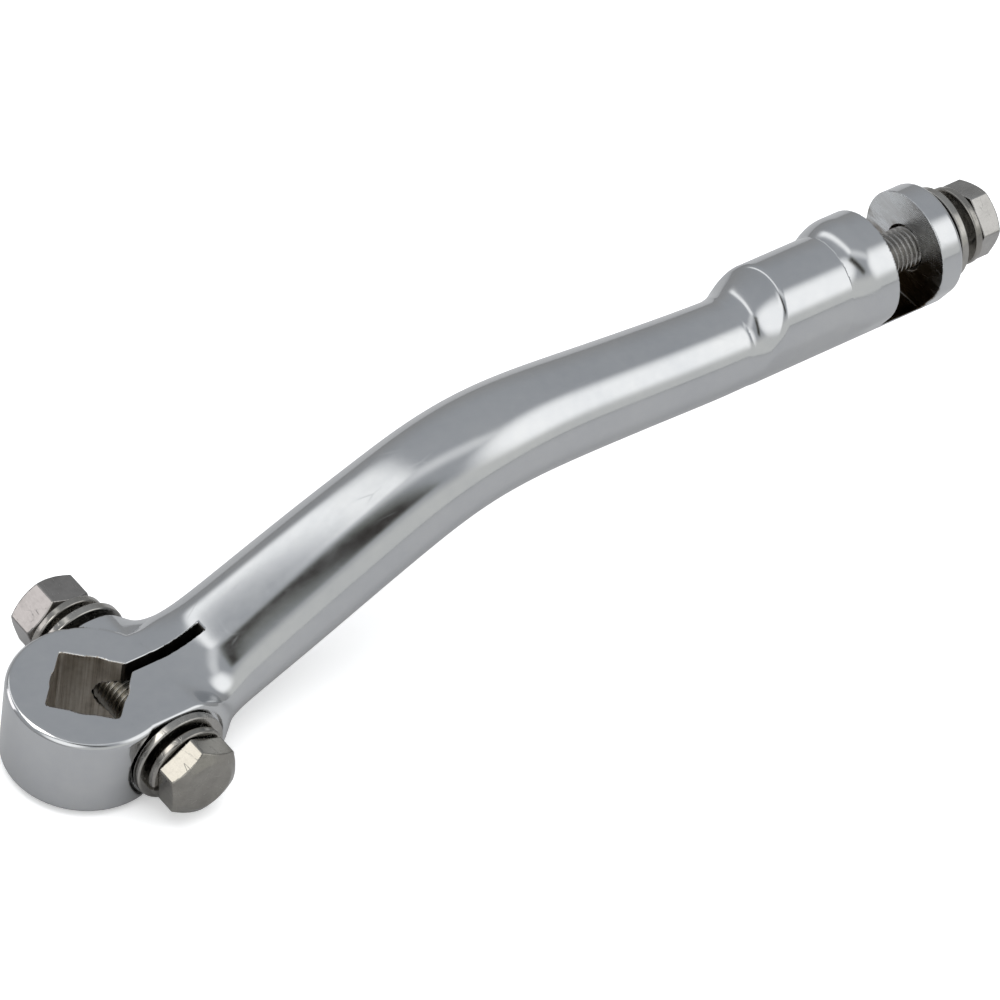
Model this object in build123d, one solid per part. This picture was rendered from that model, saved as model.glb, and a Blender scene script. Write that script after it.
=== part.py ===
from build123d import *
import math
import os

# Forged pinch-clamp crank lever with a square shaft socket at one end and a
# bolted clevis at the other.
# Origin: centre of the square socket on the hub's underside. +Z runs along the
# shaft axis, out through the hub's top face. +X runs along the lever.

# ---------------------------------------------------------------- dimensions
HUB_R = 14.2            # clamp hub outer radius
HUB_H = 16.6            # hub height along the shaft
HUB_EDGE = 1.0          # rounding of the hub's rim
SEAT_HEAD_Y = -13.5     # spot-faced seat under the pinch bolt's head
SEAT_NUT_Y = 12.8       # spot-faced seat under the pinch nut
SPOT_R = 9.4            # radius of the spot faces
SOCKET_AF = 12.7        # square shaft socket, across flats (1/2 inch)
SOCKET_CORNER_R = 8.5   # the broached corners stop on this radius
SOCKET_PILOT_R = 6.65   # pilot bore that the square was broached from
SLOT_W = 2.2            # clamp slot width
SLOT_END_X = 22.8       # clamp slot ends here, in the lever's root

BOLT_R = 7.94 / 2       # 5/16 inch screw, crest radius
BOLT_BORE_R = 4.03      # clearance bore, running on the screw
PITCH = 25.4 / 24       # 24 threads per inch
HEX_AF = 12.7           # hexagon across flats (1/2 inch)
HEAD_H = 5.2            # hexagon head height
NUT_H = 6.4             # nut height
FLAT_R = 8.75           # flat washer outer radius
FLAT_BORE_R = 4.4
FLAT_T = 1.6
LOCK_R = 7.45           # split lock washer outer radius
LOCK_BORE_R = 4.15
LOCK_T = 1.9            # lock washer wire thickness
LOCK_RISE = 0.5         # free height gained round its turn

PINCH_X, PINCH_Z = 8.8, 8.15      # pinch bolt axis, parallel to Y
HEAD_FACE_Y = -17.98              # underside of the pinch bolt's head
NUT_FACE_Y = 19.68                # inner face of the pinch nut
PINCH_END_Y = 26.47               # end of the pinch bolt
HEAD_FLAT_Y = (-15.45, -13.85)     # flat washer under the head
HEAD_LOCK_Y = (-17.95, -15.55)
NUT_FLAT_Y = (14.2, 15.8)
NUT_LOCK_Y = (17.25, 19.65)

ARM_BASE_Z = 31.6       # height of the straight outer run's centreline
BLOCK_X0 = 133.0        # end block starts inside the arm
STEP_X = 156.8          # shoulder of the clevis boss
NEAR_EAR_X = 165.5      # inner face of the block
FAR_EAR_X = (175.6, 180.6)        # the far ear
GAP_FLOOR_Z = 26.6      # floor of the clevis gap
CLEVIS_Z = 36.3         # clevis bolt axis, parallel to X
BLOCK_LOW_Z, BLOCK_LOW_R = 31.7, 8.6
NECK_Z, NECK_R = 35.7, 9.3
BOSS_Z, EAR_R = 36.3, 10.7
SCALLOP_X, SCALLOP_Z, SCALLOP_R = 136.3, 49.2, 9.1
CLEVIS_HEAD_X = 188.4   # underside of the clevis bolt's head
CLEVIS_FLAT_X = (182.0, 183.6)
CLEVIS_LOCK_X = (185.97, 188.37)
CLEVIS_TIP_X = 150.3    # tip of the clevis bolt inside the block
CLEVIS_HOLE_X = 144.5   # bottom of the tapped hole

# Lever centreline and section: x, centre height, half width across Y, half
# height square to the centreline.
ARM = [
    (4.0, 8.0, 11.5, 6.6),
    (12.0, 8.0, 12.4, 7.6),
    (18.0, 8.4, 12.2, 8.0),
    (24.0, 10.2, 11.2, 8.5),
    (32.0, 13.9, 10.9, 8.9),
    (42.0, 18.8, 10.7, 9.2),
    (52.0, 23.7, 10.45, 9.3),
    (60.0, 27.4, 10.2, 9.4),
    (68.0, 30.9, 10.05, 9.4),
    (76.0, 33.3, 9.95, 9.3),
    (84.0, 34.2, 9.75, 9.25),
    (94.0, 34.1, 9.35, 9.15),
    (106.0, 33.4, 9.0, 8.85),
    (120.0, 32.4, 8.7, 8.6),
    (132.0, 31.7, 8.5, 8.5),
    (146.0, 31.6, 8.4, 8.4),
]


def y_axis_plane(x, y, z):
    return Plane(origin=(x, y, z), x_dir=(1, 0, 0), z_dir=(0, 1, 0))


def x_axis_plane(x, y, z):
    return Plane(origin=(x, y, z), x_dir=(0, 1, 0), z_dir=(1, 0, 0))


def hull_face(plane, low, r_low, high, r_high):
    """Section of the end block: the outline round two circles, one above the
    other. low and high are heights above the plane's origin."""
    d = high - low
    s = (r_low - r_high) / d
    c = math.sqrt(1 - s * s)
    a = (r_low * c, low + r_low * s)
    b = (r_high * c, high + r_high * s)
    with BuildSketch(plane) as sk:
        with BuildLine():
            Line(a, b)
            ThreePointArc(b, (0, high + r_high), (-b[0], b[1]))
            Line((-b[0], b[1]), (-a[0], a[1]))
            ThreePointArc((-a[0], a[1]), (0, low - r_low), a)
        make_face()
    return sk.sketch


def arm_solid():
    n = len(ARM)
    faces = []
    for i, (x, z, a, b) in enumerate(ARM):
        j0, j1 = max(i - 1, 0), min(i + 1, n - 1)
        dx, dz = ARM[j1][0] - ARM[j0][0], ARM[j1][1] - ARM[j0][1]
        if i in (0, 1, n - 1, n - 2):
            dx, dz = 1.0, 0.0
        m = math.hypot(dx, dz)
        pl = Plane(origin=(x, 0, z), x_dir=(0, 1, 0), z_dir=(dx / m, 0, dz / m))
        with BuildSketch(pl) as sk:
            Ellipse(a, b)
        faces.append(sk.sketch.face())
    return loft(faces)


def hex_prism(plane, af, height, turn_deg, chamfer_front=0.0, chamfer_back=0.0):
    """Hexagon prism rising from the plane, with the corners turned down by a
    30 degree cone at the front (far) face and optionally at the back."""
    with BuildSketch(plane) as sk:
        RegularPolygon(af / 2, 6, major_radius=False, rotation=turn_deg)
    body = extrude(sk.sketch, height)
    rc = af / math.sqrt(3)
    front = rc - chamfer_front / math.tan(math.radians(30)) if chamfer_front else rc + 1
    back = rc - chamfer_back / math.tan(math.radians(30)) if chamfer_back else rc + 1
    h0 = chamfer_back if chamfer_back else 0.5
    h1 = chamfer_front if chamfer_front else 0.5
    with BuildSketch(Plane.XZ) as prof:
        with BuildLine():
            Polyline((0, 0), (back, 0), (rc + 0.02, h0), (rc + 0.02, height - h1),
                     (front, height), (0, height), (0, 0))
        make_face()
    cone = revolve(prof.sketch, Axis.Z, 360)
    return body & (plane.location * cone)


def screw_blank(plane, length, point=0.8):
    """Plain shank standing for the threaded length, with a turned-down point."""
    with BuildSketch(Plane.XZ) as prof:
        with BuildLine():
            Polyline((0, 0), (BOLT_R, 0), (BOLT_R, length - point),
                     (BOLT_R - point * 0.8, length), (0, length), (0, 0))
        make_face()
    return plane.location * revolve(prof.sketch, Axis.Z, 360)


def flat_washer(plane):
    with BuildSketch(plane) as sk:
        Circle(FLAT_R)
        Circle(FLAT_BORE_R, mode=Mode.SUBTRACT)
    w = extrude(sk.sketch, FLAT_T)
    edges = [e for e in w.edges() if abs(e.length - 2 * math.pi * FLAT_R) < 0.05]
    return fillet(edges, 0.3)


def lock_washer(plane, split_deg):
    """Split spring washer: one turn of square wire with a slight lead. The
    plane sits at the washer's lower face and the split opens at split_deg."""
    mid = (LOCK_R + LOCK_BORE_R) / 2
    wide = LOCK_R - LOCK_BORE_R
    span = 346.0
    steps = 12
    faces = []
    for i in range(steps + 1):
        t = i / steps
        ang = math.radians(split_deg + (360 - span) / 2 + span * t)
        rad = Vector(math.cos(ang), math.sin(ang), 0)
        tan = Vector(-math.sin(ang), math.cos(ang), 0)
        pl = Plane(origin=rad * mid + Vector(0, 0, LOCK_T / 2 + LOCK_RISE * t),
                   x_dir=rad, z_dir=tan)
        with BuildSketch(pl) as sk:
            Rectangle(wide, LOCK_T)
        faces.append(sk.sketch.face())
    return plane.location * loft(faces)


# ---------------------------------------------------------------- lever arm
hub = Cylinder(HUB_R, HUB_H, align=(Align.CENTER, Align.CENTER, Align.MIN))
with BuildSketch(Plane.XY) as sk:
    with BuildLine():
        Polyline((0, -13.7), (14.0, -13.7), (18.4, -9.5), (18.4, 9.5), (14.0, 13.2),
                 (0, 13.2), (0, -13.7))
    make_face()
hub += extrude(sk.sketch, HUB_H)
rim = [e for e in hub.edges() if abs(e.center().Z) < 1e-4 or abs(e.center().Z - HUB_H) < 1e-4]
rim = [e for e in rim if e.center().X < 17.5]
hub = fillet(rim, HUB_EDGE)

arm = arm_solid()
block = extrude(hull_face(x_axis_plane(BLOCK_X0, 0, 0), BLOCK_LOW_Z, BLOCK_LOW_R,
                          NECK_Z, NECK_R), STEP_X + 1.0 - BLOCK_X0)
scallop = y_axis_plane(SCALLOP_X, -30, SCALLOP_Z).location * Cylinder(
    SCALLOP_R, 60, align=(Align.CENTER, Align.CENTER, Align.MIN))
head_room = Pos(BLOCK_X0 - 5 + (SCALLOP_X - BLOCK_X0 + 5) / 2, 0, SCALLOP_Z) * Box(
    SCALLOP_X - BLOCK_X0 + 5, 60, 2 * SCALLOP_R)
block = block - scallop - head_room
boss = extrude(hull_face(x_axis_plane(STEP_X, 0, 0), BLOCK_LOW_Z, BLOCK_LOW_R,
                         BOSS_Z, EAR_R), FAR_EAR_X[1] - STEP_X)
start = [e for e in boss.edges() if abs(e.center().X - STEP_X) < 1e-4 and e.center().Z > 34]
boss = chamfer(start, 1.1)
far = [e for e in boss.edges() if abs(e.center().X - FAR_EAR_X[1]) < 1e-4]
boss = fillet(far, 0.8)
gap = Pos((NEAR_EAR_X + FAR_EAR_X[0]) / 2, 0, GAP_FLOOR_Z + 20) * Box(
    FAR_EAR_X[0] - NEAR_EAR_X, 60, 40)
boss = boss - gap

lever = hub + arm + block + boss
# spot faces under the pinch bolt's head and nut
lever -= y_axis_plane(PINCH_X, SEAT_NUT_Y, PINCH_Z).location * Cylinder(
    SPOT_R, 20, align=(Align.CENTER, Align.CENTER, Align.MIN))
lever -= y_axis_plane(PINCH_X, SEAT_HEAD_Y - 20, PINCH_Z).location * Cylinder(
    SPOT_R, 20, align=(Align.CENTER, Align.CENTER, Align.MIN))
# square socket, corners on the vertical planes y = 0 and x = 0
with BuildSketch(Plane.XY.offset(-6)) as sk:
    Rectangle(SOCKET_AF, SOCKET_AF, rotation=45)
    Circle(SOCKET_CORNER_R, mode=Mode.INTERSECT)
    Circle(SOCKET_PILOT_R)
lever -= extrude(sk.sketch, HUB_H + 12)
# clamp slot from the socket's +X corner into the root
lever -= Pos((7.0 + SLOT_END_X) / 2, 0, 8) * Box(SLOT_END_X - 7.0, SLOT_W, 40)
# pinch bolt bore
lever -= y_axis_plane(PINCH_X, -30, PINCH_Z).location * Cylinder(
    BOLT_BORE_R, 60, align=(Align.CENTER, Align.CENTER, Align.MIN))
# clevis bolt: clearance bore in the far ear, tapped hole in the block
lever -= x_axis_plane(NEAR_EAR_X + 2, 0, CLEVIS_Z).location * Cylinder(
    BOLT_BORE_R + 0.35, 40, align=(Align.CENTER, Align.CENTER, Align.MIN))
lever -= x_axis_plane(CLEVIS_HOLE_X, 0, CLEVIS_Z).location * Cylinder(
    BOLT_BORE_R, 40, align=(Align.CENTER, Align.CENTER, Align.MIN))

# ---------------------------------------------------------------- pinch bolt
head_plane = Plane(origin=(PINCH_X, HEAD_FACE_Y, PINCH_Z), x_dir=(1, 0, 0), z_dir=(0, -1, 0))
shank_plane = y_axis_plane(PINCH_X, HEAD_FACE_Y - 0.5, PINCH_Z)
pinch_bolt = hex_prism(head_plane, HEX_AF, HEAD_H, 34.7, chamfer_front=1.45)
pinch_bolt += screw_blank(shank_plane, PINCH_END_Y - HEAD_FACE_Y + 0.5)

pinch_head_flat_washer = flat_washer(y_axis_plane(PINCH_X, HEAD_FLAT_Y[0], PINCH_Z))
pinch_head_lock_washer = lock_washer(y_axis_plane(PINCH_X, HEAD_LOCK_Y[0], PINCH_Z), 205)
pinch_nut_flat_washer = flat_washer(y_axis_plane(PINCH_X, NUT_FLAT_Y[0], PINCH_Z))
pinch_nut_lock_washer = lock_washer(y_axis_plane(PINCH_X, NUT_LOCK_Y[0], PINCH_Z), 250)

nut_plane = y_axis_plane(PINCH_X, NUT_FACE_Y, PINCH_Z)
pinch_nut = hex_prism(nut_plane, HEX_AF, NUT_H, 11.9, chamfer_front=0.75, chamfer_back=0.75)
pinch_nut -= nut_plane.location * Cylinder(
    BOLT_BORE_R, 30, align=(Align.CENTER, Align.CENTER, Align.CENTER))
bore_edges = [e for e in pinch_nut.edges() if e.geom_type == GeomType.CIRCLE
              and abs(e.radius - BOLT_BORE_R) < 1e-3]
pinch_nut = chamfer(bore_edges, 0.45)

# ---------------------------------------------------------------- clevis bolt
clevis_head = x_axis_plane(CLEVIS_HEAD_X, 0, CLEVIS_Z)
clevis_bolt = hex_prism(clevis_head, HEX_AF, HEAD_H, 42.7, chamfer_front=1.45)
clevis_shank = Plane(origin=(CLEVIS_HEAD_X + 0.5, 0, CLEVIS_Z), x_dir=(0, -1, 0), z_dir=(-1, 0, 0))
clevis_bolt += screw_blank(clevis_shank, CLEVIS_HEAD_X + 0.5 - CLEVIS_TIP_X)
clevis_flat_washer = flat_washer(x_axis_plane(CLEVIS_FLAT_X[0], 0, CLEVIS_Z))
clevis_lock_washer = lock_washer(x_axis_plane(CLEVIS_LOCK_X[0], 0, CLEVIS_Z), 200)

# ---------------------------------------------------------------- write
os.makedirs("parts", exist_ok=True)
nodes = {
    "lever_arm": lever,
    "pinch_bolt": pinch_bolt,
    "pinch_head_flat_washer": pinch_head_flat_washer,
    "pinch_head_lock_washer": pinch_head_lock_washer,
    "pinch_nut_flat_washer": pinch_nut_flat_washer,
    "pinch_nut_lock_washer": pinch_nut_lock_washer,
    "pinch_nut": pinch_nut,
    "clevis_bolt": clevis_bolt,
    "clevis_flat_washer": clevis_flat_washer,
    "clevis_lock_washer": clevis_lock_washer,
}
for name, shape in nodes.items():
    solids = shape.solids()
    if len(solids) != 1:
        raise SystemExit(f"{name} has {len(solids)} solids")
    export_step(solids[0], f"parts/{name}.step")
    bb = solids[0].bounding_box()
    print(f"{name}: volume {solids[0].volume:.0f} mm3, "
          f"x {bb.min.X:.2f}..{bb.max.X:.2f}, y {bb.min.Y:.2f}..{bb.max.Y:.2f}, "
          f"z {bb.min.Z:.2f}..{bb.max.Z:.2f}, valid {solids[0].is_valid}")
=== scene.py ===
import bpy
import bmesh
import math
import numpy as np
from mathutils import Matrix


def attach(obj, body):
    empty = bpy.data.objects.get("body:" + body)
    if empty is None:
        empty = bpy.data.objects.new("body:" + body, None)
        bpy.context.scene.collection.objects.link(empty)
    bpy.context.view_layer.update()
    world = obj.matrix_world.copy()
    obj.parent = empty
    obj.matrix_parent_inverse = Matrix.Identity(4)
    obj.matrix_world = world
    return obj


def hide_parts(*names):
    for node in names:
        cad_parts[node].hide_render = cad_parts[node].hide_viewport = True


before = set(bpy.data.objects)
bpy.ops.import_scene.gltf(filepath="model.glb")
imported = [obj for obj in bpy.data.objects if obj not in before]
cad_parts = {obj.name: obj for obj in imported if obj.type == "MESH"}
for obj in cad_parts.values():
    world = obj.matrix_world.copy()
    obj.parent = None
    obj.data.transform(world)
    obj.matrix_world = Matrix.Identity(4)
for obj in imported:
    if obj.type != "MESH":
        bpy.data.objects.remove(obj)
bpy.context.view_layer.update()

# All shape work below is in millimetres in the part's frame: origin at the
# centre of the square socket on the hub's underside, +Z along the shaft, +X
# along the lever, +Y towards the pinch nut.
MM = 0.001

# ------------------------------------------------------------- field helpers


def smin(a, b, k):
    h = np.maximum(k - np.abs(a - b), 0.0) / k
    return np.minimum(a, b) - h * h * h * k / 6.0


def smax(a, b, k):
    return -smin(-a, -b, k)


def rmax(a, b, r):
    """Intersection whose edge is a fillet of radius r."""
    u, v = np.maximum(a + r, 0.0), np.maximum(b + r, 0.0)
    return np.minimum(-r, np.maximum(a, b)) + np.hypot(u, v)


def rmin(a, b, r):
    return -rmax(-a, -b, r)


def step(a, b, x):
    t = np.clip((x - a) / (b - a), 0.0, 1.0)
    return t * t * (3 - 2 * t)


def slab(x, lo, hi):
    return np.abs(x - (lo + hi) / 2) - (hi - lo) / 2


def capsule2(y, z, z1, r1, z2, r2):
    """Outline round two circles, one above the other."""
    h = z2 - z1
    b = (r1 - r2) / h
    a = math.sqrt(1 - b * b)
    px, pz = np.abs(y), z - z1
    k = -b * px + a * pz
    return np.where(k < 0, np.hypot(px, pz) - r1,
                    np.where(k > a * h, np.hypot(px, pz - h) - r2,
                             a * px + b * pz - r1))


def corner_box2(x, z, x0, x1, z0, z1, r_top, r_low):
    """Box whose two corners on the high-x side are rounded."""
    cx, cz, hx, hz = (x0 + x1) / 2, (z0 + z1) / 2, (x1 - x0) / 2, (z1 - z0) / 2
    px, pz = x - cx, z - cz
    r = np.where(px < 0, 0.0, np.where(pz > 0, r_top, r_low))
    qx, qz = np.abs(px) - hx + r, np.abs(pz) - hz + r
    return (np.minimum(np.maximum(qx, qz), 0.0)
            + np.hypot(np.maximum(qx, 0.0), np.maximum(qz, 0.0)) - r)


class Curve:
    """Natural cubic spline on an even grid, made from a few stations that are
    first smoothed so that reflections run along it without ripples."""

    def __init__(self, xs, ys, soft):
        xs, ys = np.array(xs, float), np.array(ys, float)
        m = self._slopes(xs, ys)
        self.h = 1.0
        pad = 16
        g = np.arange(xs[0] - pad, xs[-1] + pad + 0.5, self.h)
        i = np.clip(np.searchsorted(xs, g) - 1, 0, len(xs) - 2)
        d = xs[i + 1] - xs[i]
        t = (g - xs[i]) / d
        inner = ((1 - t) * ys[i] + t * ys[i + 1]
                 + d * d / 6 * (((1 - t) ** 3 - (1 - t)) * m[i] + (t ** 3 - t) * m[i + 1]))
        sl0 = (ys[1] - ys[0]) / (xs[1] - xs[0])
        sl1 = (ys[-1] - ys[-2]) / (xs[-1] - xs[-2])
        v = np.where(g < xs[0], ys[0] + sl0 * (g - xs[0]),
                     np.where(g > xs[-1], ys[-1] + sl1 * (g - xs[-1]), inner))
        w = np.arange(-12, 13)
        ker = np.exp(-(w / soft) ** 2 / 2)
        ker /= ker.sum()
        full = np.concatenate([v[0] + (v[0] - v[1]) * np.arange(12, 0, -1), v,
                               v[-1] + (v[-1] - v[-2]) * np.arange(1, 13)])
        v = np.convolve(full, ker, "valid")
        self.x0, self.v = g[0], v
        self.m = self._slopes(g, v)

    @staticmethod
    def _slopes(x, y):
        n = len(x)
        a = np.zeros((n, n))
        b = np.zeros(n)
        a[0, 0] = a[-1, -1] = 1
        for i in range(1, n - 1):
            h0, h1 = x[i] - x[i - 1], x[i + 1] - x[i]
            a[i, i - 1], a[i, i], a[i, i + 1] = h0, 2 * (h0 + h1), h1
            b[i] = 6 * ((y[i + 1] - y[i]) / h1 - (y[i] - y[i - 1]) / h0)
        return np.linalg.solve(a, b)

    def __call__(self, x, slope=False):
        s = (x - self.x0) / self.h
        i = np.clip(s.astype(np.int64), 0, len(self.v) - 2)
        t = s - i
        u = 1 - t
        v0, v1, m0, m1 = self.v[i], self.v[i + 1], self.m[i], self.m[i + 1]
        f = u * v0 + t * v1 + self.h ** 2 / 6 * ((u ** 3 - u) * m0 + (t ** 3 - t) * m1)
        if not slope:
            return f
        g = (v1 - v0) / self.h + self.h / 6 * (-(3 * u * u - 1) * m0 + (3 * t * t - 1) * m1)
        return f, g


# Lever stations: x, centre height, half width, half height.
ARM = np.array([
    (4, 7.6, 11.5, 6.6), (12, 7.6, 12.2, 7.5), (18, 8.2, 12.0, 8.0), (24, 10.2, 11.2, 8.5),
    (32, 13.9, 10.9, 8.9), (42, 18.8, 10.7, 9.2), (52, 23.7, 10.45, 9.3),
    (60, 27.4, 10.2, 9.4), (68, 30.9, 10.05, 9.4), (76, 33.3, 9.95, 9.3),
    (84, 34.3, 9.75, 9.25), (94, 34.2, 9.35, 9.15), (106, 33.4, 9.0, 8.85),
    (120, 32.4, 8.7, 8.6), (132, 31.7, 8.5, 8.5), (141, 31.6, 8.2, 8.2), (150, 31.5, 7.4, 7.4)], float)
arm_z = Curve(ARM[:, 0], ARM[:, 1], 3.0)
arm_a = Curve(ARM[:, 0], ARM[:, 2], 4.0)
arm_b = Curve(ARM[:, 0], ARM[:, 3], 4.0)


def f_arm(x, y, z):
    s = x.copy()
    for _ in range(3):
        zc, g = arm_z(s, True)
        s = 0.35 * s + 0.65 * np.clip(x + (z - zc) * g, 2.0, 150.0)
    zc, g = arm_z(s, True)
    n = np.sqrt(1 + g * g)
    v = ((z - zc) - (x - s) * g) / n
    a, b = arm_a(s), arm_b(s)
    k0 = np.hypot(y / a, v / b)
    k1 = np.hypot(y / (a * a), v / (b * b)) + 1e-9
    d = k0 * (k0 - 1) / k1
    return np.maximum(d, np.maximum(4.0 - x, x - 149.0))


def f_socket(x, y):
    sq = (np.abs(x) + np.abs(y)) / math.sqrt(2) - 6.35
    sq = rmax(sq, np.hypot(x, y) - 8.72, 0.25)
    return np.minimum(sq, np.hypot(x, y) - 6.65)


def f_cuts(x, y, z):
    """Holes with raw walls: socket, clamp slot and the two screw bores."""
    sock = f_socket(x, y)
    slot = np.maximum(np.abs(y) - 0.97, np.maximum(6.5 - x, x - 22.5))
    pinch = np.hypot(x - 8.8, z - 8.15) - 4.03
    clev = np.maximum(np.hypot(y, z - 36.3) - np.where(x > 170, 4.38, 4.03), 144.5 - x)
    return np.minimum(np.minimum(sock, slot), np.minimum(pinch, clev))


def f_gap(x, y, z):
    return np.maximum(slab(x, 165.5, 175.6), 26.6 - z)


def f_lever(x, y, z):
    top = slab(z, 0.0, 16.6)
    hub = rmax(np.hypot(x, y) - 14.2, top, 1.35)
    near = rmax(corner_box2(x, z, -4.0, 19.3, 0.0, 16.6, 7.6, 5.0),
                slab(y, -13.5, 7.0), 1.2)
    far = rmax(np.hypot(x - 8.8, z - 8.15) - 8.55, slab(y, 0.0, 12.8), 0.7)
    far = rmax(far, z - 16.6, 0.5)
    far = rmax(far, -z, 0.5)
    body = np.minimum(np.minimum(hub, near), far)
    arm = f_arm(x, y, z)
    k = 0.3 + 8.5 * step(8.5, 21.0, x) * (1 - step(30, 60, x))
    f = rmax(smin(body, arm, k), -z, 0.5)
    # end block: one long section that steps up to the clevis ears, and starts
    # with a dished ramp turned round the lever's own axis
    t = np.clip((x - 156.2) / 5.2, 0.0, 1.0)
    grow = 1 - (1 - t) ** 2
    sect = blend_section(y, z, grow)
    block = rmax(sect, x - 180.6, 0.9)
    rho = np.hypot(y, z - 31.55)
    u = (x - 134.9) / 8.1
    wall = 8.3 + 0.25 * (x - 134.9) + 4.2 * np.where(u > 0, np.abs(u), 0.0) ** 1.7 \
        + np.where(u < 0, (x - 134.9) * 0.75, 0.0)
    block = rmax(block, (rho - wall) * 0.70, 0.55)
    f = smin(f, block, 0.3 + 1.2 * step(27.0, 33.0, z))
    f = rmax(f, -f_gap(x, y, z), 0.25)
    # spot faces under the pinch screw's head and nut
    spot = np.hypot(x - 8.8, z - 8.15) - 9.4
    f = rmax(f, -rmax(spot, y + 13.5, 0.4), 0.45)
    f = rmax(f, -rmax(spot, 12.8 - y, 0.4), 0.45)
    return rmax(f, -f_cuts(x, y, z), 0.22)


def blend_section(y, z, g):
    """Outline round two circles, the upper one growing as g goes from 0 to 1."""
    z1, r1 = 31.65, 8.5
    z2, r2 = 35.7 + 0.6 * g, 9.3 + 1.4 * g
    h = z2 - z1
    b = (r1 - r2) / h
    a = np.sqrt(1 - b * b)
    px, pz = np.abs(y), z - z1
    k = -b * px + a * pz
    return np.where(k < 0, np.hypot(px, pz) - r1,
                    np.where(k > a * h, np.hypot(px, pz - h) - r2,
                             a * px + b * pz - r1))


# ------------------------------------------------------------- meshing


def gradient(f, p, e=0.02):
    g = np.empty_like(p)
    for i in range(3):
        d = np.zeros(3)
        d[i] = e
        a, b = p + d, p - d
        g[:, i] = f(a[:, 0], a[:, 1], a[:, 2]) - f(b[:, 0], b[:, 1], b[:, 2])
    return g / (2 * e)


def net(f, gx, gy, gz, relax=2):
    """Surface of f = 0 on a rectilinear grid, as vertices, quads and normals."""
    gx, gy, gz = (np.asarray(g, float) for g in (gx, gy, gz))
    nx, ny, nz = len(gx), len(gy), len(gz)
    v = np.empty((nx, ny, nz), np.float32)
    yy, zz = np.meshgrid(gy, gz, indexing="ij")
    for i0 in range(0, nx, 24):
        xs = gx[i0:i0 + 24]
        shape = (len(xs), ny, nz)
        xx = np.broadcast_to(xs[:, None, None], shape).astype(float).ravel()
        y3 = np.broadcast_to(yy[None], shape).ravel()
        z3 = np.broadcast_to(zz[None], shape).ravel()
        v[i0:i0 + 24] = f(xx, y3, z3).reshape(shape)
    inside = v < 0
    cells = (nx - 1, ny - 1, nz - 1)
    acc, cnt = None, None
    ids_all, pts_all, quads = [], [], []
    for ax in range(3):
        a = [slice(None)] * 3
        b = [slice(None)] * 3
        a[ax], b[ax] = slice(0, -1), slice(1, None)
        cross = inside[tuple(a)] != inside[tuple(b)]
        idx = np.array(np.nonzero(cross))
        o = [k for k in range(3) if k != ax]
        ok = np.ones(idx.shape[1], bool)
        for k in o:
            ok &= (idx[k] > 0) & (idx[k] < (nx, ny, nz)[k] - 1)
        idx = idx[:, ok]
        j = idx.copy()
        j[ax] += 1
        v0, v1 = v[tuple(idx)].astype(float), v[tuple(j)].astype(float)
        t = v0 / (v0 - v1)
        p = np.stack([gx[idx[0]], gy[idx[1]], gz[idx[2]]], 1)
        q = np.stack([gx[j[0]], gy[j[1]], gz[j[2]]], 1)
        p = p + (q - p) * t[:, None]
        four = []
        for du, dv in ((0, 0), (-1, 0), (-1, -1), (0, -1)):
            c = idx.copy()
            c[o[0]] += du
            c[o[1]] += dv
            cid = np.ravel_multi_index(tuple(c), cells)
            four.append(cid)
            ids_all.append(cid)
            pts_all.append(p)
        four = np.stack(four, 1)
        flip = v0 > 0
        if ax == 1:
            flip = ~flip
        four[flip] = four[flip][:, ::-1]
        quads.append(four)
    ids, pts, quads = np.concatenate(ids_all), np.concatenate(pts_all), np.concatenate(quads)
    uniq, inv = np.unique(ids, return_inverse=True)
    cnt = np.bincount(inv).astype(float)
    verts = np.stack([np.bincount(inv, pts[:, k]) / cnt for k in range(3)], 1)
    quads = np.searchsorted(uniq, quads)
    size = np.median(np.diff(gy)) * 0.7

    def project(verts, rounds):
        for _ in range(rounds):
            g = gradient(f, verts)
            d = f(verts[:, 0], verts[:, 1], verts[:, 2])
            m = np.clip(d / np.maximum((g * g).sum(1), 0.2), -size, size)
            verts = verts - g * m[:, None]
        return verts

    verts = project(verts, 3)
    edges = np.concatenate([quads[:, [0, 1]], quads[:, [1, 2]], quads[:, [2, 3]], quads[:, [3, 0]]])
    for _ in range(relax):
        n = len(verts)
        c = np.bincount(edges[:, 0], minlength=n).astype(float)
        c += np.bincount(edges[:, 1], minlength=n)
        mean = np.stack([np.bincount(edges[:, 0], verts[edges[:, 1], k], n)
                         + np.bincount(edges[:, 1], verts[edges[:, 0], k], n)
                         for k in range(3)], 1) / c[:, None]
        g = gradient(f, verts)
        g /= np.linalg.norm(g, axis=1)[:, None] + 1e-9
        d = (mean - verts) * 0.5
        d -= g * (d * g).sum(1)[:, None]
        verts = project(verts + d, 2)
    g = gradient(f, verts)
    g /= np.linalg.norm(g, axis=1)[:, None] + 1e-9
    return verts, quads, g


def put(name, verts, faces, normals=None, mats=(), face_mat=None, smooth=True, angle=None):
    me = bpy.data.meshes.new(name)
    me.from_pydata((np.asarray(verts) * MM).tolist(), [],
                   faces.tolist() if hasattr(faces, "tolist") else faces)
    me.update()
    for m in mats:
        me.materials.append(m)
    if face_mat is not None:
        me.polygons.foreach_set("material_index", np.asarray(face_mat, np.int32))
    me.polygons.foreach_set("use_smooth", np.full(len(me.polygons), smooth))
    if normals is not None:
        me.normals_split_custom_set_from_vertices(np.asarray(normals, float).tolist())
    elif angle is not None:
        me.set_sharp_from_angle(angle=math.radians(angle))
    me.validate()
    ob = bpy.data.objects.new(name, me)
    bpy.context.scene.collection.objects.link(ob)
    return ob


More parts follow.
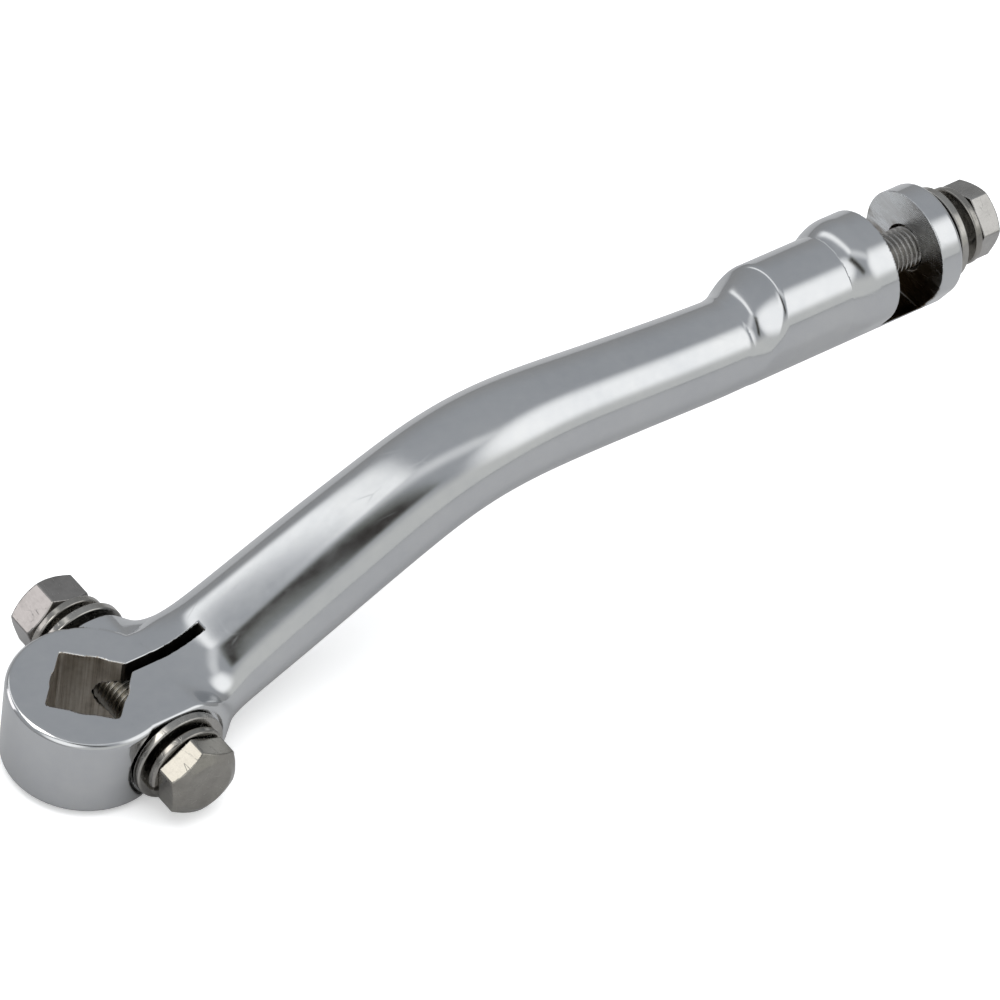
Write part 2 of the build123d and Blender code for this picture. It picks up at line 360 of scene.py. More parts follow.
def turned(verts, origin, xdir, zdir):
    """Local coordinates to the part's frame."""
    x, z = np.array(xdir, float), np.array(zdir, float)
    x, z = x / np.linalg.norm(x), z / np.linalg.norm(z)
    y = np.cross(z, x)
    return np.array(origin, float) + verts @ np.stack([x, y, z])


def turned_dir(n, xdir, zdir):
    return turned(n, (0, 0, 0), xdir, zdir)


# ------------------------------------------------------------- node helpers


def new_mat(name):
    m = bpy.data.materials.new(name)
    m.use_nodes = True
    nt = m.node_tree
    nt.nodes.clear()
    out = nt.nodes.new("ShaderNodeOutputMaterial")
    bs = nt.nodes.new("ShaderNodeBsdfPrincipled")
    nt.links.new(bs.outputs[0], out.inputs[0])
    return m, nt, bs


def coords(nt, scale=(1, 1, 1), rot=(0, 0, 0), loc=(0, 0, 0)):
    tc = nt.nodes.new("ShaderNodeTexCoord")
    mp = nt.nodes.new("ShaderNodeMapping")
    mp.inputs["Scale"].default_value = scale
    mp.inputs["Rotation"].default_value = rot
    mp.inputs["Location"].default_value = loc
    nt.links.new(tc.outputs["Object"], mp.inputs["Vector"])
    return mp.outputs[0]


def noise(nt, vec, scale, detail=3.0, rough=0.5, dist=0.0):
    n = nt.nodes.new("ShaderNodeTexNoise")
    n.inputs["Scale"].default_value = scale
    n.inputs["Detail"].default_value = detail
    n.inputs["Roughness"].default_value = rough
    n.inputs["Distortion"].default_value = dist
    nt.links.new(vec, n.inputs["Vector"])
    return n.outputs["Fac"]


def ramp(nt, fac, stops):
    r = nt.nodes.new("ShaderNodeValToRGB")
    el = r.color_ramp.elements
    while len(el) > 1:
        el.remove(el[-1])
    el[0].position = stops[0][0]
    el[0].color = (*stops[0][1], 1)
    for pos, col in stops[1:]:
        e = el.new(pos)
        e.color = (*col, 1)
    nt.links.new(fac, r.inputs[0])
    return r.outputs[0]


def span(nt, fac, a0, a1, b0, b1):
    m = nt.nodes.new("ShaderNodeMapRange")
    for k, val in zip(("From Min", "From Max", "To Min", "To Max"), (a0, a1, b0, b1)):
        m.inputs[k].default_value = val
    nt.links.new(fac, m.inputs["Value"])
    return m.outputs[0]


def math_node(nt, op, a, b=None, clamp=False):
    m = nt.nodes.new("ShaderNodeMath")
    m.operation = op
    m.use_clamp = clamp
    for k, val in enumerate((a, b)):
        if val is None:
            continue
        if isinstance(val, (int, float)):
            m.inputs[k].default_value = val
        else:
            nt.links.new(val, m.inputs[k])
    return m.outputs[0]


def bump(nt, height, dist, strength=1.0, prev=None):
    b = nt.nodes.new("ShaderNodeBump")
    b.inputs["Strength"].default_value = strength
    b.inputs["Distance"].default_value = dist
    nt.links.new(height, b.inputs["Height"])
    if prev is not None:
        nt.links.new(prev, b.inputs["Normal"])
    return b.outputs[0]


def scratches(nt, scale, stretch, rot, thin=0.035, loc=(0, 0, 0)):
    """Sparse fine scratches: a stretched Voronoi edge field cut to thin lines."""
    v = coords(nt, stretch, rot, loc)
    t = nt.nodes.new("ShaderNodeTexVoronoi")
    t.feature = "DISTANCE_TO_EDGE"
    t.inputs["Scale"].default_value = scale
    nt.links.new(v, t.inputs["Vector"])
    line = span(nt, t.outputs["Distance"], 0.0, thin, 1.0, 0.0)
    keep = span(nt, noise(nt, coords(nt), scale * 0.8, 2), 0.52, 0.66, 0.0, 1.0)
    return math_node(nt, "MULTIPLY", line, keep, True)


def chrome_material():
    m, nt, bs = new_mat("chrome_plate")
    bs.inputs["Metallic"].default_value = 1.0
    big = noise(nt, coords(nt), 55, 3)
    fine = noise(nt, coords(nt), 420, 4, 0.6)
    tint = ramp(nt, math_node(nt, "ADD", math_node(nt, "MULTIPLY", big, 0.6),
                              math_node(nt, "MULTIPLY", fine, 0.4)),
                [(0.3, (0.53, 0.54, 0.555)), (0.55, (0.57, 0.577, 0.585)), (0.75, (0.60, 0.605, 0.605))])
    nt.links.new(tint, bs.inputs["Base Color"])
    haze = span(nt, noise(nt, coords(nt, (1, 2.5, 2.5)), 120, 5, 0.62), 0.3, 0.75, 0.10, 0.17)
    sc = scratches(nt, 190, (0.12, 1.0, 1.0), (0.2, 0.1, 0.4), 0.02)
    rough = math_node(nt, "ADD", haze, math_node(nt, "MULTIPLY", sc, 0.10))
    nt.links.new(rough, bs.inputs["Roughness"])
    wave = noise(nt, coords(nt, (0.5, 1, 1)), 70, 2, 0.4)
    n1 = bump(nt, wave, 0.00007, 0.55)
    n2 = bump(nt, fine, 0.000004, 0.5, n1)
    nt.links.new(n2, bs.inputs["Normal"])
    return m


def raw_material(name="raw_broached_steel", shade=1.0):
    """Broached and drilled walls: raw steel with tool lines along the shaft."""
    m, nt, bs = new_mat(name)
    bs.inputs["Metallic"].default_value = 1.0
    lines = noise(nt, coords(nt, (1, 1, 0.03)), 2600, 3, 0.6)
    blotch = noise(nt, coords(nt), 330, 4, 0.6)
    both = math_node(nt, "ADD", math_node(nt, "MULTIPLY", lines, 0.55),
                     math_node(nt, "MULTIPLY", blotch, 0.45))
    cols = [(0.28, (0.28, 0.245, 0.205)), (0.45, (0.52, 0.475, 0.415)),
            (0.6, (0.67, 0.63, 0.57)), (0.75, (0.80, 0.77, 0.72))]
    # shade scales the whole colour ramp; a value below 1 is painted shade
    nt.links.new(ramp(nt, both, [(p, tuple(shade * c for c in rgb)) for p, rgb in cols]),
                 bs.inputs["Base Color"])
    nt.links.new(span(nt, blotch, 0.3, 0.7, 0.28, 0.52), bs.inputs["Roughness"])
    nt.links.new(bump(nt, lines, 0.00003, 0.5), bs.inputs["Normal"])
    return m


def milled_material():
    """Walls of the clevis gap: plated over milling marks, with painted shade towards the bottom."""
    m, nt, bs = new_mat("milled_gap")
    bs.inputs["Metallic"].default_value = 1.0
    arcs = nt.nodes.new("ShaderNodeTexWave")
    arcs.wave_type = "RINGS"
    arcs.rings_direction = "X"
    arcs.inputs["Scale"].default_value = 900
    arcs.inputs["Distortion"].default_value = 3.0
    arcs.inputs["Detail"].default_value = 3
    arcs.inputs["Detail Scale"].default_value = 2.0
    nt.links.new(coords(nt, loc=(0, 0, -0.060)), arcs.inputs["Vector"])
    blotch = noise(nt, coords(nt, (1, 0.5, 1.4), (0.5, 0, 0)), 420, 4, 0.6)
    both = math_node(nt, "ADD", math_node(nt, "MULTIPLY", arcs.outputs["Fac"], 0.25),
                     math_node(nt, "MULTIPLY", blotch, 0.75))
    col = ramp(nt, both, [(0.25, (0.50, 0.495, 0.485)), (0.5, (0.64, 0.65, 0.655)), (0.7, (0.74, 0.76, 0.775))])
    # The colour turns dark brown (0.13, 0.10, 0.065) towards the bottom of the gap walls, with a noisy edge:
    # painted shade deep in the gap.
    sep = nt.nodes.new("ShaderNodeSeparateXYZ")
    nt.links.new(coords(nt), sep.inputs[0])
    high = math_node(nt, "ADD", sep.outputs["Z"], span(nt, blotch, 0.3, 0.7, -0.0025, 0.0025))
    gap_depth_painted_shade = span(nt, high, 0.0315, 0.0385, 0.0, 1.0)
    mx = nt.nodes.new("ShaderNodeMix")
    mx.data_type = "RGBA"
    nt.links.new(gap_depth_painted_shade, mx.inputs[0])
    mx.inputs[6].default_value = (0.13, 0.10, 0.065, 1)
    nt.links.new(col, mx.inputs[7])
    nt.links.new(mx.outputs[2], bs.inputs["Base Color"])
    nt.links.new(span(nt, both, 0.3, 0.7, 0.14, 0.3), bs.inputs["Roughness"])
    nt.links.new(bump(nt, arcs.outputs["Fac"], 0.00002, 0.35), bs.inputs["Normal"])
    return m


def stainless_material(name, axis, warm, rough0, rough1, ring=False, seed=0.0):
    """Satin stainless with turning marks, spanner scratches and dirt."""
    m, nt, bs = new_mat(name)
    bs.inputs["Metallic"].default_value = 1.0
    st = [1.0, 1.0, 1.0]
    st[axis] = 0.35
    grain = noise(nt, coords(nt, tuple(st), loc=(seed, seed, seed)), 2100, 3, 0.55)
    blotch = noise(nt, coords(nt, loc=(seed, 0, seed)), 210, 5, 0.65, 0.4)
    both = math_node(nt, "ADD", math_node(nt, "MULTIPLY", grain, 0.25),
                     math_node(nt, "MULTIPLY", blotch, 0.75))
    nt.links.new(ramp(nt, both, [(0.28, tuple(c * 0.74 for c in warm)),
                                 (0.5, warm), (0.72, tuple(min(1, c * 1.16) for c in warm))]),
                 bs.inputs["Base Color"])
    sc = scratches(nt, 520, (0.3, 0.3, 1.0) if axis != 2 else (1.0, 0.3, 0.3), (0.5, 0.3, 0.9), 0.03,
                   (seed, 0, 0))
    sc2 = scratches(nt, 700, (1.0, 0.25, 0.3), (0.9, 1.2, 0.2), 0.03, (0, seed, 0))
    lines = math_node(nt, "MAXIMUM", sc, sc2)
    rg = math_node(nt, "ADD", span(nt, both, 0.3, 0.7, rough0, rough1),
                   math_node(nt, "MULTIPLY", lines, 0.12))
    nt.links.new(rg, bs.inputs["Roughness"])
    n1 = bump(nt, grain, 0.00001, 0.25)
    n2 = bump(nt, lines, -0.00003, 0.5, n1)
    nt.links.new(n2, bs.inputs["Normal"])
    return m


chrome = chrome_material()
raw = raw_material()
# The clamp slot's walls reuse the raw steel colours scaled to 0.12: painted shade for the deep, narrow slot.
slot_painted_shade = raw_material("slot_steel_painted_shade", 0.12)
milled = milled_material()
steel_y = stainless_material("stainless_pinch_bolt", 1, (0.30, 0.288, 0.262), 0.15, 0.26, seed=0.3)
steel_nut = stainless_material("stainless_nut", 1, (0.31, 0.297, 0.285), 0.13, 0.24, seed=1.7)
steel_x = stainless_material("stainless_clevis_bolt", 0, (0.385, 0.375, 0.36), 0.15, 0.26, seed=2.9)
wash_flat = stainless_material("stainless_flat_washer", 2, (0.40, 0.388, 0.365), 0.13, 0.24, seed=4.1)
wash_lock = stainless_material("stainless_lock_washer", 2, (0.33, 0.317, 0.295), 0.15, 0.26, seed=5.3)

# ------------------------------------------------------------- lever
FINE = 0.36
gx = np.concatenate([np.arange(-15.0, 26.0, FINE), np.arange(26.0, 131.0, 0.7),
                     np.arange(131.0, 182.0, FINE)])
gy = np.arange(-15.1, 15.2, FINE)
gz = np.arange(-0.9, 48.0, FINE)
lv, lf, ln = net(f_lever, gx, gy, gz, 2)
mid = lv[lf].mean(1)
cut = np.abs(f_cuts(mid[:, 0], mid[:, 1], mid[:, 2])) < 0.10
# Faces of the clamp slot take the darkened slot material, which is painted shade.
slot = cut & (np.abs(mid[:, 1]) < 1.3) & (mid[:, 0] > 7.5) & (mid[:, 0] < 23.2)
gap = (np.abs(f_gap(mid[:, 0], mid[:, 1], mid[:, 2])) < 0.10) & ~cut
lever = put("lever_arm_chromed", lv, lf, ln, (chrome, raw, milled, slot_painted_shade),
            np.where(slot, 3, np.where(cut, 1, np.where(gap, 2, 0))))
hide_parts("lever_arm")
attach(lever, "lever")

# ------------------------------------------------------------- fasteners
PITCH = 25.4 / 24
CREST, ROOT = 3.96, 3.33


def thread_mesh(length, point, start_plain, right=True):
    """Threaded shank from local z = 0 to length, with a turned-down point."""
    na = 72
    nz = int(length / PITCH * 12)
    z = np.linspace(0.0, length, nz + 1)
    th = np.linspace(0, 2 * math.pi, na, endpoint=False)
    zz, tt = np.meshgrid(z, th, indexing="ij")
    ph = np.mod(zz / PITCH - tt / (2 * math.pi) * (1 if right else -1), 1.0)
    tri = 1 - np.abs(2 * ph - 1)                      # 0 root, 1 crest
    prof = np.clip((tri - 0.12) / 0.72, 0, 1)
    r = ROOT + (CREST - ROOT) * prof
    plain = 1 - step(start_plain, start_plain + 0.8, zz)
    r = r * (1 - plain) + CREST * plain
    r = np.minimum(r, CREST - np.maximum(zz - (length - point), 0) * 0.85)
    verts = np.stack([r * np.cos(tt), r * np.sin(tt), zz], 2).reshape(-1, 3)
    i = np.arange(nz)[:, None] * na
    j = np.arange(na)[None]
    jn = (j + 1) % na
    faces = np.stack([i + j, i + jn, i + na + jn, i + na + j], 2).reshape(-1, 4).tolist()
    c0, c1 = len(verts), len(verts) + 1
    verts = np.vstack([verts, [[0, 0, 0], [0, 0, length]]])
    last = nz * na
    for k in range(na):
        faces.append([c0, (k + 1) % na, k])
        faces.append([c1, last + k, last + (k + 1) % na])
    return verts, faces


def f_hex(x, y, z, turn, height, front, back=0.0, bore=False):
    """Hexagon with turned-down corners; local z = 0 is the bearing face."""
    af = 12.7 / 2
    d = -1e9 * np.ones_like(x)
    for k in range(3):
        a = math.radians(turn + 30 + 60 * k)
        d = rmax(d, np.abs(x * math.cos(a) + y * math.sin(a)) - af, 0.22) if k else \
            np.abs(x * math.cos(a) + y * math.sin(a)) - af
    rc = 12.7 / math.sqrt(3)
    r = np.hypot(x, y)
    s, c = math.sin(math.radians(30)), math.cos(math.radians(30))
    cone = (r - rc) * s + (z - (height - front)) * c
    d = rmax(d, cone, 0.12)
    if back:
        d = rmax(d, (r - rc) * s + ((back - z)) * c, 0.12)
    d = rmax(d, slab(z, 0.0, height), 0.14)
    if bore:
        hole = r - 4.01
        hole = np.minimum(hole, (r - (4.75 - z)) * 0.707)
        hole = np.minimum(hole, (r - (4.75 - (height - z))) * 0.707)
        d = rmax(d, -hole, 0.1)
    return d


def hex_mesh(turn, height, front, back=0.0, bore=False):
    g = np.arange(-7.8, 7.81, 0.24)
    gzz = np.arange(-0.5, height + 0.5, 0.22)
    return net(lambda x, y, z: f_hex(x, y, z, turn, height, front, back, bore), g, g, gzz, 2)


def joined(parts):
    """Several closed shells as one mesh. Each part is vertices, faces, normals."""
    vs, fs, ns, off = [], [], [], 0
    for v, f, n in parts:
        vs.append(v)
        ns.append(n)
        fs.extend([[i + off for i in q] for q in (f.tolist() if hasattr(f, "tolist") else f)])
        off += len(v)
    return np.vstack(vs), fs, np.vstack(ns)


def vertex_normals(v, f):
    v = np.asarray(v, float)
    n = np.zeros_like(v)
    tri = []
    for q in f:
        tri.append((q[0], q[1], q[2]))
        if len(q) == 4:
            tri.append((q[0], q[2], q[3]))
    tri = np.array(tri)
    c = np.cross(v[tri[:, 1]] - v[tri[:, 0]], v[tri[:, 2]] - v[tri[:, 0]])
    for k in range(3):
        for j in range(3):
            n[:, j] += np.bincount(tri[:, k], c[:, j], len(v))
    return n / (np.linalg.norm(n, axis=1)[:, None] + 1e-12)


def bolt(name, node, body, mat, origin, xdir, zdir, turn, length, thread_from, point):
    """Screw with its head outwards along zdir. origin is the centre of the
    underside of its head."""
    hv, hf, hn = hex_mesh(turn, 5.2, 1.45)
    hv, hn = turned(hv, origin, xdir, zdir), turned_dir(hn, xdir, zdir)
    zneg = -np.array(zdir, float)
    tv, tf = thread_mesh(length + 0.6, point, thread_from + 0.6)
    tv = turned(tv, np.array(origin, float) - zneg * 0.6, xdir, zneg)
    tn = vertex_normals(tv, tf)
    v, f, n = joined([(hv, hf, hn), (tv, tf, tn)])
    ob = put(name, v, f, n, (mat,))
    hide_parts(node)
    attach(ob, body)
    return ob


bolt("pinch_bolt_threaded", "pinch_bolt", "pinch_screw", steel_y,
     (8.8, -17.98, 8.15), (1, 0, 0), (0, -1, 0), 34.7, 44.45, 2.0, 0.8)
bolt("clevis_bolt_threaded", "clevis_bolt", "clevis_screw", steel_x,
     (188.4, 0, 36.3), (0, 1, 0), (1, 0, 0), 42.7, 38.1, 2.0, 0.8)

nv, nf, nn = hex_mesh(11.9, 6.4, 0.75, 0.75, True)
nut_x, nut_z = (1, 0, 0), (0, 1, 0)
nut = put("pinch_nut_hex", turned(nv, (8.8, 19.68, 8.15), nut_x, nut_z), nf,
          turned_dir(nn, nut_x, nut_z), (steel_nut,))
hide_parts("pinch_nut")
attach(nut, "pinch_nut")


def round_profile(r0, r1, z0, z1, rad, n=4):
    """Rounded rectangle in (radius, height), anticlockwise."""
    pts = []
    for cx, cz, a0 in ((r1 - rad, z0 + rad, -90), (r1 - rad, z1 - rad, 0),
                       (r0 + rad, z1 - rad, 90), (r0 + rad, z0 + rad, 180)):
        for i in range(n + 1):
            a = math.radians(a0 + 90 * i / n)
            pts.append((cx + rad * math.cos(a), cz + rad * math.sin(a)))
    return np.array(pts)


def flat_washer(name, node, body, mat, centre, xdir, zdir, tilt, tilt_dir):
    prof = round_profile(4.4, 8.735, 0.0, 1.6, 0.32)
    na, npr = 144, len(prof)
    th = np.linspace(0, 2 * math.pi, na, endpoint=False)
    r = prof[:, 0][None] * np.ones(na)[:, None]
    z = prof[:, 1][None] - 0.8 + 0.0 * r
    verts = np.stack([r * np.cos(th)[:, None], r * np.sin(th)[:, None], z], 2).reshape(-1, 3)
    i, j = np.arange(na)[:, None], np.arange(npr)[None]
    a, b = i * npr + j, i * npr + (j + 1) % npr
    c, d = ((i + 1) % na) * npr + (j + 1) % npr, ((i + 1) % na) * npr + j
    faces = np.stack([a, d, c, b], 2).reshape(-1, 4)
    t = math.radians(tilt)
    u = np.array([math.cos(math.radians(tilt_dir)), math.sin(math.radians(tilt_dir))])
    along = verts[:, 0] * u[0] + verts[:, 1] * u[1]
    verts = verts.copy()
    verts[:, 0] += along * (math.cos(t) - 1) * u[0] - verts[:, 2] * math.sin(t) * u[0]
    verts[:, 1] += (along * (math.cos(t) - 1)) * u[1] - verts[:, 2] * math.sin(t) * u[1]
    verts[:, 2] = verts[:, 2] * math.cos(t) + along * math.sin(t)
    v = turned(verts, centre, xdir, zdir)
    ob = put(name, v, faces, vertex_normals(v, faces.tolist()), (mat,))
    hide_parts(node)
    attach(ob, body)
    return ob


def lock_washer(name, node, body, mat, origin, xdir, zdir, split, rise=0.85):
    """One turn of square spring wire whose ends stand apart at the split."""
    prof = round_profile(4.15, 7.45, 0.0, 1.55, 0.42)
    npr, steps_n, open_deg = len(prof), 150, 346.0
    verts = []
    for i in range(steps_n + 1):
        t = i / steps_n
        a = math.radians(split + (360 - open_deg) / 2 + open_deg * t)
        for pr, pz in prof:
            verts.append((pr * math.cos(a), pr * math.sin(a), pz + rise * t))
    verts = np.array(verts)
    faces = []
    for i in range(steps_n):
        for j in range(npr):
            jn = (j + 1) % npr
            faces.append([i * npr + j, (i + 1) * npr + j, (i + 1) * npr + jn, i * npr + jn])
    for end, flip in ((0, True), (steps_n, False)):
        c = len(verts)
        ring = [end * npr + j for j in range(npr)]
        ring_v = verts[ring].copy()
        verts = np.vstack([verts, ring_v, ring_v.mean(0)[None]])
        for j in range(npr):
            q = [c + j, c + (j + 1) % npr, c + npr]
            faces.append(q[::-1] if flip else q)
    v = turned(verts, origin, xdir, zdir)
    n = vertex_normals(v, faces)
    ob = put(name, v, faces, n, (mat,))
    bm = bmesh.new()
    bm.from_mesh(ob.data)
    bmesh.ops.remove_doubles(bm, verts=bm.verts, dist=1e-7)
    bm.to_mesh(ob.data)
    bm.free()
    ob.data.set_sharp_from_angle(angle=math.radians(50))
    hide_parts(node)
    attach(ob, body)
    return ob


YP = ((1, 0, 0), (0, 1, 0))
XP = ((0, 1, 0), (1, 0, 0))
flat_washer("head_flat_washer_turned", "pinch_head_flat_washer", "head_flat_washer", wash_flat,
            (8.8, -14.65, 8.15), *YP, 0.0, 0)
lock_washer("head_lock_washer_coil", "pinch_head_lock_washer", "head_lock_washer", wash_lock,
            (8.8, -17.95, 8.15), *YP, 165)
flat_washer("nut_flat_washer_turned", "pinch_nut_flat_washer", "nut_flat_washer", wash_flat,
            (8.8, 15.0, 8.15), *YP, 1.1, 100)
lock_washer("nut_lock_washer_coil", "pinch_nut_lock_washer", "nut_lock_washer", wash_lock,
            (8.8, 17.25, 8.15), *YP, 90)
flat_washer("clevis_flat_washer_turned", "clevis_flat_washer", "clevis_flat_washer", wash_flat,
            (182.8, 0, 36.3), *XP, 1.1, 40)
lock_washer("clevis_lock_washer_coil", "clevis_lock_washer", "clevis_lock_washer", wash_lock,
            (185.97, 0, 36.3), *XP, 325)

# ------------------------------------------------------------- camera
r = np.array([2.283094978820226, -0.7032191400321994, 0.4543951799894037])
ang = np.linalg.norm(r)
kx, ky, kz = r / ang
K = np.array([[0, -kz, ky], [kz, 0, -kx], [-ky, kx, 0]])
R = np.eye(3) + math.sin(ang) * K + (1 - math.cos(ang)) * K @ K
t = np.array([-68.72993433267393, 30.965393731013208, 1005.5005668467396])
C = -R.T @ t + np.array([0, 0, 16.6])
cam_data = bpy.data.cameras.new("camera")
cam = bpy.data.objects.new("camera", cam_data)
bpy.context.scene.collection.objects.link(cam)
M = np.eye(4)
M[:3, 0], M[:3, 1], M[:3, 2] = R[0], -R[1], -R[2]
M[:3, 3] = C * MM
cam.matrix_world = Matrix(M.tolist())
cam_data.sensor_fit = "HORIZONTAL"
cam_data.sensor_width = 36.0
cam_data.lens = 6.004816741175733 * 36.0
cam_data.clip_start = 0.01
cam_data.clip_end = 30.0
bpy.context.scene.camera = cam

# ------------------------------------------------------------- studio
fl = bpy.data.meshes.new("floor")
ring = [(4.0 * math.cos(a), 4.0 * math.sin(a), -0.0007) for a in np.linspace(0, 2 * math.pi, 96, endpoint=False)]
fl.from_pydata(ring, [], [list(range(96))])
floor = bpy.data.objects.new("floor", fl)
bpy.context.scene.collection.objects.link(floor)
fm, fnt, fbs = new_mat("floor_pale")
fbs.inputs["Base Color"].default_value = (0.52, 0.52, 0.525, 1)
fbs.inputs["Roughness"].default_value = 0.9
fbs.inputs["Specular IOR Level"].default_value = 0.05
fout = [n for n in fnt.nodes if n.type == "OUTPUT_MATERIAL"][0]
pale = fnt.nodes.new("ShaderNodeBsdfPrincipled")
pale.inputs["Base Color"].default_value = (0.93, 0.93, 0.93, 1)
pale.inputs["Roughness"].default_value = 0.9
pale.inputs["Specular IOR Level"].default_value = 0.05
pale.inputs["Emission Color"].default_value = (1, 1, 1, 1)
pale.inputs["Emission Strength"].default_value = 0.35
lp = fnt.nodes.new("ShaderNodeLightPath")
fmix = fnt.nodes.new("ShaderNodeMixShader")
fnt.links.new(lp.outputs["Is Camera Ray"], fmix.inputs[0])
fnt.links.new(fbs.outputs[0], fmix.inputs[1])
fnt.links.new(pale.outputs[0], fmix.inputs[2])
fnt.links.new(fmix.outputs[0], fout.inputs[0])
fl.materials.append(fm)


def area(name, loc, target, sx, sy, power, col=(1, 1, 1)):
    d = bpy.data.lights.new(name, "AREA")
    d.shape = "RECTANGLE"
    d.size, d.size_y, d.energy, d.color = sx, sy, power, col
    o = bpy.data.objects.new(name, d)
    bpy.context.scene.collection.objects.link(o)
    p, q = np.array(loc, float), np.array(target, float)
    z = (p - q) / np.linalg.norm(p - q)
    up = np.array([0, 0, 1.0]) if abs(z[2]) < 0.95 else np.array([1.0, 0, 0])
    x = np.cross(up, z)
    x /= np.linalg.norm(x)
    y = np.cross(z, x)
    m = np.eye(4)
    m[:3, 0], m[:3, 1], m[:3, 2], m[:3, 3] = x, y, z, p
    o.matrix_world = Matrix(m.tolist())
    return o


top = area("softbox_top", (0.12, 0.10, 1.3), (0.09, 0, 0.0), 1.6, 1.6, 13)
top.visible_glossy = False


def card(name, point, direction, dist, size, radiance, col):
    """A small reflector card, seen only by the hexagon facet it stands over."""
    p = np.array(point, float) * MM
    d = np.array(direction, float) / np.linalg.norm(direction)
    o = area(name, p + d * dist, p, size, size, radiance * math.pi * size * size, col)
    o.visible_camera = False
    o.visible_diffuse = False
    return o


card("card_pinch_head", (5.2, -20.5, 13.4), (-0.532, 0.520, 0.668), 0.06, 0.024, 2.7, (1.0, 0.97, 0.91))
card("card_pinch_nut", (4.0, 23.0, 12.4), (-0.759, 0.551, 0.347), 0.06, 0.032, 1.5, (1.0, 0.96, 0.97))

world = bpy.data.worlds.new("studio")
bpy.context.scene.world = world
world.use_nodes = True
wn = world.node_tree
wn.nodes.clear()
wout = wn.nodes.new("ShaderNodeOutputWorld")
wbg = wn.nodes.new("ShaderNodeBackground")
wn.links.new(wbg.outputs[0], wout.inputs[0])
wtc = wn.nodes.new("ShaderNodeTexCoord")
wdir = wtc.outputs["Generated"]
wsep = wn.nodes.new("ShaderNodeSeparateXYZ")
wn.links.new(wdir, wsep.inputs[0])


def facing(nt, vec, d):
    """How far a direction points along d, from -1 to 1."""
    d = np.array(d, float) / np.linalg.norm(d)
    n = nt.nodes.new("ShaderNodeVectorMath")
    n.operation = "DOT_PRODUCT"
    nt.links.new(vec, n.inputs[0])
    n.inputs[1].default_value = tuple(d)
    return n.outputs["Value"]


def smooth_span(nt, fac, a0, a1):
    m = nt.nodes.new("ShaderNodeMapRange")
    m.interpolation_type = "SMOOTHSTEP"
    m.inputs["From Min"].default_value = a0
    m.inputs["From Max"].default_value = a1
    nt.links.new(fac, m.inputs["Value"])
    return m.outputs[0]


def layer(nt, under, over, fac):
    mx = nt.nodes.new("ShaderNodeMix")
    mx.data_type = "RGBA"
    nt.links.new(fac, mx.inputs[0])
    for k, val in ((6, under), (7, over)):
        if isinstance(val, tuple):
            mx.inputs[k].default_value = (*val, 1)
        else:
            nt.links.new(val, mx.inputs[k])
    return mx.outputs[2]


# A studio of curved light panels: a grey tent, a long bright panel that arches
# over the lever, a wide panel on its near side, and a dark opening.
tent = ramp(wn, wsep.outputs["Z"], [(0.0, (0.37, 0.375, 0.38)), (0.1, (0.39, 0.395, 0.40)),
                                    (0.6, (0.47, 0.49, 0.515)), (1.0, (0.50, 0.52, 0.545))])
low_near = math_node(wn, "MULTIPLY", smooth_span(wn, wsep.outputs["Y"], -0.40, -0.75),
                     smooth_span(wn, wsep.outputs["Z"], 0.68, 0.40), True)
tent = layer(wn, tent, (0.78, 0.79, 0.775), low_near)
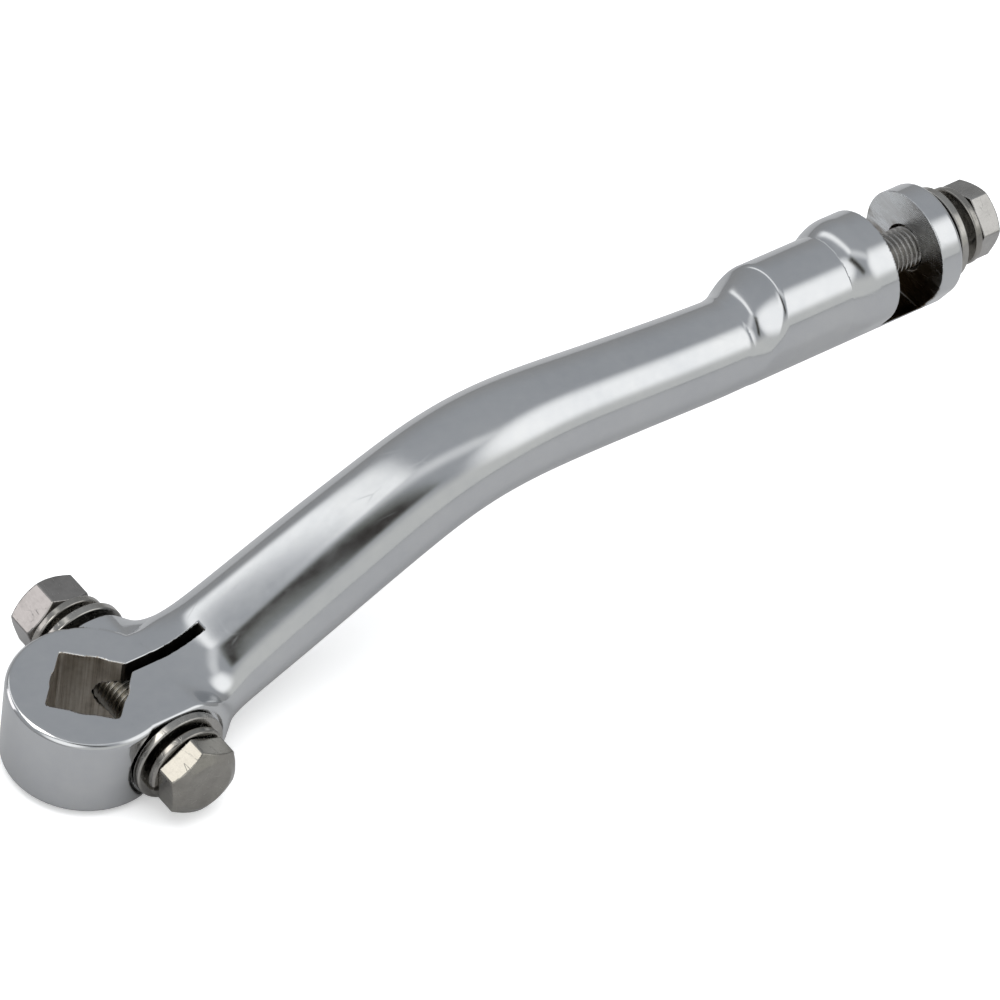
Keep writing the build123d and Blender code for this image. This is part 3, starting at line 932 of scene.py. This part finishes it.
# the arch: a bright strip at dx = -0.28, bowed towards +X on the far side
over = math_node(wn, "MAXIMUM", math_node(wn, "SUBTRACT", wsep.outputs["Y"], 0.2), 0.0)
bow = math_node(wn, "MULTIPLY", math_node(wn, "MULTIPLY", over, over), 0.30)
off = math_node(wn, "ABSOLUTE", math_node(wn, "ADD", math_node(wn, "SUBTRACT", wsep.outputs["X"], bow), 0.275))
arch = math_node(wn, "MULTIPLY", smooth_span(wn, off, 0.125, 0.015),
                 math_node(wn, "MULTIPLY", smooth_span(wn, wsep.outputs["Y"], -0.16, -0.02),
                           smooth_span(wn, wsep.outputs["Z"], 0.22, 0.45), True), True)
panel = math_node(wn, "MULTIPLY", smooth_span(wn, facing(wn, wdir, (0.56, -0.57, 0.60)), 0.865, 0.985),
                  smooth_span(wn, wsep.outputs["Z"], 0.10, 0.40), True)
strip = math_node(wn, "ABSOLUTE", facing(wn, wdir, (0.540, 0.811, 0.226)))
link = math_node(wn, "MULTIPLY", smooth_span(wn, strip, 0.20, 0.02),
                 math_node(wn, "MULTIPLY", smooth_span(wn, wsep.outputs["X"], -0.36, -0.24),
                           math_node(wn, "MULTIPLY", smooth_span(wn, wsep.outputs["X"], 0.60, 0.45),
                                     smooth_span(wn, wsep.outputs["Z"], 0.3, 0.5), True), True), True)
link = math_node(wn, "MULTIPLY", link, 0.45)
side_panel = smooth_span(wn, facing(wn, wdir, (-0.70, -0.33, 0.60)), 0.87, 0.98)
bright = math_node(wn, "MAXIMUM", math_node(wn, "MAXIMUM", arch, panel),
                   math_node(wn, "MAXIMUM", link, side_panel))
# the dark opening: a greenish band with a thin black core
a_dir, b_dir = np.array([-0.32, -0.36, 0.875]), np.array([-0.18, -0.64, 0.745])
across = math_node(wn, "ABSOLUTE", facing(wn, wdir, np.cross(a_dir, b_dir)))
near_c = facing(wn, wdir, a_dir + b_dir)
band = math_node(wn, "MULTIPLY", smooth_span(wn, across, 0.125, 0.065), smooth_span(wn, near_c, 0.91, 0.955), True)
core = math_node(wn, "MULTIPLY", smooth_span(wn, across, 0.062, 0.030), smooth_span(wn, near_c, 0.93, 0.965), True)
sky = layer(wn, tent, (1.48, 1.49, 1.49), bright)
sky = layer(wn, sky, (0.21, 0.22, 0.20), band)
sky = layer(wn, sky, (0.03, 0.022, 0.02), core)
wlp = wn.nodes.new("ShaderNodeLightPath")
sky = layer(wn, sky, (0.97, 0.97, 0.97), wlp.outputs["Is Camera Ray"])
wn.links.new(sky, wbg.inputs[0])
wbg.inputs[1].default_value = 1.0

bpy.context.scene.view_settings.view_transform = "Standard"
bpy.context.scene.view_settings.look = "None"
bpy.context.scene.view_settings.exposure = 0.0
